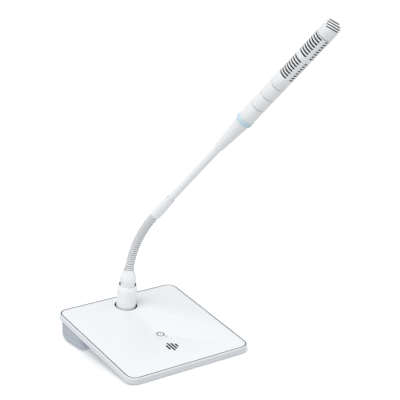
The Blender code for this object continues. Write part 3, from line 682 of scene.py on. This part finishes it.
def make_spring_part(number, reach_below, reach_above, node_name):
    """The stretch of spring about one pivot, from the middle of one link to that of the next."""
    pivot = PIVOTS[number - 1]
    back = turned(link_angle(number - 1) - link_angle(number), "Y")
    below = pivot @ back
    centre = pivot.translation
    start = centre - below.col[2].xyz * reach_below * MM
    end = centre + pivot.col[2].xyz * reach_above * MM
    axis_height = FIRST_PIVOT + (number - 1) * LINK_PITCH
    length = reach_below + reach_above
    step = SPRING_PITCH / SPRING_SIDES
    steps = round(length / step)
    first_turn = below.to_quaternion()
    last_turn = pivot.to_quaternion()
    shape = bmesh.new()
    # Each point's amount of painted shade, by its depth in the valley.
    groove = shape.verts.layers.float.new("groove")
    outer = []
    inner = []
    for index in range(steps + 1):
        along = index / steps
        place = start * (1 - along) ** 2 + centre * 2 * along * (1 - along) + end * along**2
        turn = first_turn.slerp(last_turn, along)
        height = axis_height - reach_below + length * along
        ring = []
        for side in range(SPRING_SIDES):
            angle = 2 * math.pi * side / SPRING_SIDES
            ridge = spring_ridge(height, angle)
            radius = SPRING_RADIUS - SPRING_GROOVE * (1 - math.sqrt(ridge))
            spoke = Vector((math.cos(angle), math.sin(angle), 0))
            point = shape.verts.new(place + turn @ (spoke * radius * MM))
            # Painted shade: full in the valley, none on the ridge.
            point[groove] = (1 - ridge) ** 1.5
            ring.append(point)
        outer.append(ring)
        if index % (steps // 4) == 0 or index == steps:
            spokes = [2 * math.pi * side / SPRING_SIDES for side in range(SPRING_SIDES)]
            bore = [place + turn @ (Vector((math.cos(a), math.sin(a), 0)) * SPRING_BORE * MM) for a in spokes]
            inner.append([shape.verts.new(point) for point in bore])
    for stack in (outer, inner):
        for lower, upper in zip(stack, stack[1:]):
            bridge(shape, lower, upper)
    bridge(shape, outer[0], inner[0])
    bridge(shape, outer[-1], inner[-1])
    piece = as_object(f"spring_{number}", shape, Matrix.Identity(4), MATERIALS["white_spring"], sharp=75.0)
    if node_name:
        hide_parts(node_name)
    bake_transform(piece)


def make_spring():
    half = LINK_PITCH / 2
    reaches_below = [SPRING_FOOT, LINK_PITCH - SPRING_JOIN] + [half] * (LINK_COUNT - 1)
    reaches_above = [SPRING_JOIN] + [half] * (LINK_COUNT - 1) + [SPRING_HEAD]
    for number, (below, above) in enumerate(zip(reaches_below, reaches_above), 1):
        node_name = f"flex_link_{number}" if number <= LINK_COUNT else None
        make_spring_part(number, below, above, node_name)


def make_ferrule():
    profile = rounded_profile(
        [
            (4.95, 118.3, 0.1),
            (5.25, 118.3, 0.25),
            (5.15, 121.5, 1.0),
            (5.15, 133.5, 3.0),
            (4.55, 142.5, 3.0),
            (4.5, 146.2, 0.2),
            (4.0, 146.5, 0.15),
            (3.95, 126.2),
            (3.2, 125.7),
            (4.95, 122.5),
        ]
    )
    ferrule = revolve("ferrule", profile, HEAD_FRAME, MATERIALS["white_metal"])
    attach(ferrule, "head", "white_metal", "ferrule_sleeve")


def make_stem():
    profile = [(3.65, 126.0), (3.65, 150.0), (3.65, 195.0), (3.65, 240.0), (2.7, 240.0), (2.7, 126.0)]
    stem = revolve("stem", profile, HEAD_FRAME, MATERIALS["white_metal"], sides=48)
    attach(stem, "head", "white_metal", "stem_tube")


def make_cone():
    profile = rounded_profile(
        [
            (3.95, 229.0),
            (4.35, 229.0, 0.2),
            (4.55, 230.6, 0.8),
            (5.9, 249.0, 4.0),
            (7.3, 267.2, 1.2),
            (7.45, 269.0, 0.3),
            (6.2, 269.0),
            (5.6, 263.0),
            (3.0, 246.0),
            (3.0, 240.3),
            (3.95, 240.3),
        ]
    )
    cone = revolve("cone", profile, HEAD_FRAME, MATERIALS["white_metal"])
    attach(cone, "head", "white_metal", "cone_adapter")


def make_glow_ring():
    profile = rounded_profile(
        [(6.9, 269.3), (8.35, 269.3, 0.9), (8.35, RING_END, 0.9), (6.9, RING_END)],
        steps=6,
    )
    ring = revolve("glow_ring", profile, HEAD_FRAME, MATERIALS["ice_ring"])
    attach(ring, "head", "ice_ring", "light_ring")


# Head


def make_head_rings():
    start = RING_END + 0.3
    inside = HEAD_RADIUS - HEAD_WALL
    for number, end in enumerate(SECTION_ENDS, 1):
        stop = end - GROOVE / 2
        profile = rounded_profile(
            [(inside, start), (HEAD_RADIUS, start, 0.3), (HEAD_RADIUS, stop, 0.3), (inside, stop)]
        )
        piece = revolve(f"head_ring_{number}", profile, HEAD_FRAME, MATERIALS["white_metal"])
        attach(piece, "head", "white_metal", f"head_section_{number}")
        start = end + GROOVE / 2


def make_grille():
    """Tube with two groups of slots between three ribs: a grid of cells round and along, some left out."""
    levels = [(SECTION_ENDS[-1] + GROOVE / 2, False)]
    for first, count in SLOT_ROWS:
        for number in range(count):
            middle = first + number * SLOT_PITCH
            levels.append((middle - SLOT_HEIGHT / 2, True))
            levels.append((middle + SLOT_HEIGHT / 2, False))
    levels.append((TUBE_END - GROOVE / 2, False))
    columns = []
    for number in range(3):
        rib = RIB_PHASE + number * 120 - RIB_ANGLE / 2
        columns += [(rib + RIB_ANGLE * step / 4, False) for step in range(4)]
        columns += [(rib + RIB_ANGLE + (120 - RIB_ANGLE) * step / 16, True) for step in range(16)]
    shape = bmesh.new()
    grids = []
    for radius in (HEAD_RADIUS, HEAD_RADIUS - HEAD_WALL):
        grid = []
        for height, _ in levels:
            turns = [math.radians(angle) for angle, _ in columns]
            points = [(radius * math.cos(turn), radius * math.sin(turn), height) for turn in turns]
            grid.append(add_loop(shape, points))
        grids.append(grid)
    outer, inner = grids
    rows = len(levels) - 1
    sides = len(columns)

    def filled(row, side):
        return not (levels[row][1] and columns[side % sides][1])

    def wall(row, side, next_row, next_side):
        corners = (outer[row][side], outer[next_row][next_side], inner[next_row][next_side], inner[row][side])
        shape.faces.new(corners)

    for row in range(rows):
        for side in range(sides):
            after = (side + 1) % sides
            if not filled(row, side):
                continue
            for grid in (outer, inner):
                below, above = grid[row], grid[row + 1]
                shape.faces.new((below[side], below[after], above[after], above[side]))
            if row == 0 or not filled(row - 1, side):
                wall(row, side, row, after)
            if row == rows - 1 or not filled(row + 1, side):
                wall(row + 1, side, row + 1, after)
            if not filled(row, after):
                wall(row, after, row + 1, after)
            if not filled(row, side - 1):
                wall(row, side, row + 1, side)
    tube = as_object("slotted_tube", shape, HEAD_FRAME, MATERIALS["white_metal"])
    attach(settle(tube, bevel=0.14), "head", "white_metal", "grille_tube")


def dome_arc(radius, height, start, steps=14):
    """Profile points (r, z) of a full dome, from its rim up to just before its top."""
    arc = []
    for step in range(steps):
        angle = math.radians(90 * step / steps)
        across = math.cos(angle) ** (2 / DOME_POWER)
        along = math.sin(angle) ** (2 / DOME_POWER)
        arc.append((radius * across, start + height * along))
    return arc


def make_cap():
    """Domed end with straight, slanted parallel slots right through it, between two side ribs."""
    inside = HEAD_RADIUS - HEAD_WALL
    dome_start = HEAD_END - DOME_HEIGHT
    profile = [
        (HEAD_RADIUS - 0.2, TUBE_END + GROOVE / 2),
        (HEAD_RADIUS, TUBE_END + GROOVE / 2 + 0.2),
        *dome_arc(HEAD_RADIUS, DOME_HEIGHT, dome_start),
        (0, HEAD_END),
        (0, HEAD_END - HEAD_WALL),
        *dome_arc(inside, DOME_HEIGHT - HEAD_WALL, dome_start)[::-1],
        (inside, TUBE_END + GROOVE / 2),
    ]
    cap = revolve("dome_cap", profile, HEAD_FRAME, MATERIALS["white_metal"], sides=72)
    around, over, spin = DOME_SLOT_TILT
    tilt = turned(around, "Z") @ turned(over, "Y") @ turned(spin, "Z")
    slanted = HEAD_FRAME @ translated(0, 0, HEAD_END) @ tilt
    cutters = []
    for number, reach in enumerate(DOME_SLOT_REACH):
        level = LOWEST_DOME_SLOT + number * DOME_SLOT_PITCH
        low = (-reach - 0.2, -2 * HEAD_RADIUS, level - DOME_SLOT_WIDTH / 2)
        high = (reach - 0.2, 2 * HEAD_RADIUS, level + DOME_SLOT_WIDTH / 2)
        cutters.append(box(f"slit_{number}", low, high, slanted))
    attach(settle(cap, cutters, bevel=0.1), "head", "white_metal", "grille_cap")


def make_mesh_liner():
    """Dark fine mesh behind the slots, closed by a dome under the cap."""
    inside = HEAD_RADIUS - HEAD_WALL - 0.3
    dome_start = HEAD_END - DOME_HEIGHT
    height = DOME_HEIGHT - HEAD_WALL - 0.3
    profile = [
        (inside, 337.9),
        *dome_arc(inside, height, dome_start, steps=9),
        (0, dome_start + height),
        (0, dome_start + height - 0.4),
        *dome_arc(inside - 0.4, height - 0.4, dome_start, steps=9)[::-1],
        (inside - 0.4, 337.9),
    ]
    piece = revolve("mesh_liner", profile, HEAD_FRAME, MATERIALS["dark_mesh"], sides=48)
    attach(piece, "head", "dark_mesh", "acoustic_mesh")
    lower = [(6.65, 322.0), (6.85, 322.0), (6.85, 337.4), (6.65, 337.4)]
    low_piece = revolve("mesh_liner_low", lower, HEAD_FRAME, MATERIALS["dark_mesh"], sides=48)
    attach(low_piece, "head", "dark_mesh")


def dress_cad_nodes():
    """The frame's own nodes that stay in view take the look of their slot."""
    for part in frame["record"]["subparts"]:
        shown = frame["nodes"][part["node"]]
        shown.data.materials.clear()
        shown.data.materials.append(MATERIALS[part["material_slot"]])


# Floor, light and camera


def make_stage():
    shape = bmesh.new()
    bmesh.ops.create_grid(shape, x_segments=1, y_segments=1, size=FLOOR_HALF)
    look = bpy.data.materials.new("floor_white")
    look.use_nodes = True
    tree = look.node_tree
    shader = tree.nodes["Principled BSDF"]
    noise = node(tree, "ShaderNodeTexNoise", Scale=6.0)
    tone = ramp_between(tree, noise.outputs["Fac"], (0.84, 0.84, 0.84), (0.86, 0.86, 0.86))
    tree.links.new(tone, shader.inputs["Base Color"])
    shader.inputs["Roughness"].default_value = 0.9
    shader.inputs["Emission Color"].default_value = (1, 1, 1, 1)
    shader.inputs["Emission Strength"].default_value = FLOOR_GLOW
    floor = as_object("floor", shape, Matrix.Identity(4), look)
    floor.visible_diffuse = False
    floor.visible_glossy = False


def add_light(kind, name, power, place, **settings):
    """A light that shines from its place towards the object."""
    data = bpy.data.lights.new(name, kind)
    data.energy = power
    for key, value in settings.items():
        setattr(data, key, value)
    lamp = bpy.data.objects.new(name, data)
    bpy.context.scene.collection.objects.link(lamp)
    lamp.location = place
    lamp.rotation_euler = (Vector(AIM) - Vector(place)).to_track_quat("-Z", "Y").to_euler()


def make_lights():
    """A pale sky, brightest at the horizon so that the floor fades into it, and soft key and fill lights."""
    world = bpy.data.worlds.new("studio")
    bpy.context.scene.world = world
    world.use_nodes = True
    tree = world.node_tree
    where = node(tree, "ShaderNodeTexCoord")
    parts = node(tree, "ShaderNodeSeparateXYZ")
    tree.links.new(where.outputs["Generated"], parts.inputs["Vector"])
    height = node(tree, "ShaderNodeMapRange")
    height.inputs["From Min"].default_value = LOW_SKY
    height.inputs["From Max"].default_value = HIGH_SKY
    tree.links.new(parts.outputs["Z"], height.inputs["Value"])
    ramp = node(tree, "ShaderNodeValToRGB")
    ramp.color_ramp.elements[0].color = (0.72, 0.73, 0.74, 1)
    ramp.color_ramp.elements[1].color = (0.56, 0.57, 0.58, 1)
    for level in (0.0, HAZE_TOP):
        haze = ramp.color_ramp.elements.new((level - LOW_SKY) / (HIGH_SKY - LOW_SKY))
        haze.color = (0.93, 0.93, 0.93, 1)
    tree.links.new(height.outputs["Result"], ramp.inputs["Fac"])
    tree.links.new(ramp.outputs["Color"], tree.nodes["Background"].inputs["Color"])
    add_light("SUN", "key", 1.5, KEY_PLACE, angle=math.radians(35))
    add_light("AREA", "fill", 5, FILL_PLACE, size=1.8)


def make_camera():
    data = bpy.data.cameras.new("camera")
    data.lens = CAMERA_LENS
    data.sensor_width = 36.0
    camera = bpy.data.objects.new("camera", data)
    bpy.context.scene.collection.objects.link(camera)
    camera.location = CAMERA_PLACE
    camera.rotation_euler = [math.radians(angle) for angle in CAMERA_TURN]
    bpy.context.scene.camera = camera


dress_cad_nodes()
make_panel()
make_rim()
make_seal()
make_housing()
make_button()
make_status_light()
make_mark()
make_plug_body()
make_boot()
make_gap_shade_tabs()
make_spring()
make_ferrule()
make_stem()
make_cone()
make_glow_ring()
make_head_rings()
make_grille()
make_cap()
make_mesh_liner()
make_stage()
make_lights()
make_camera()
bpy.context.scene.view_settings.view_transform = "Standard"
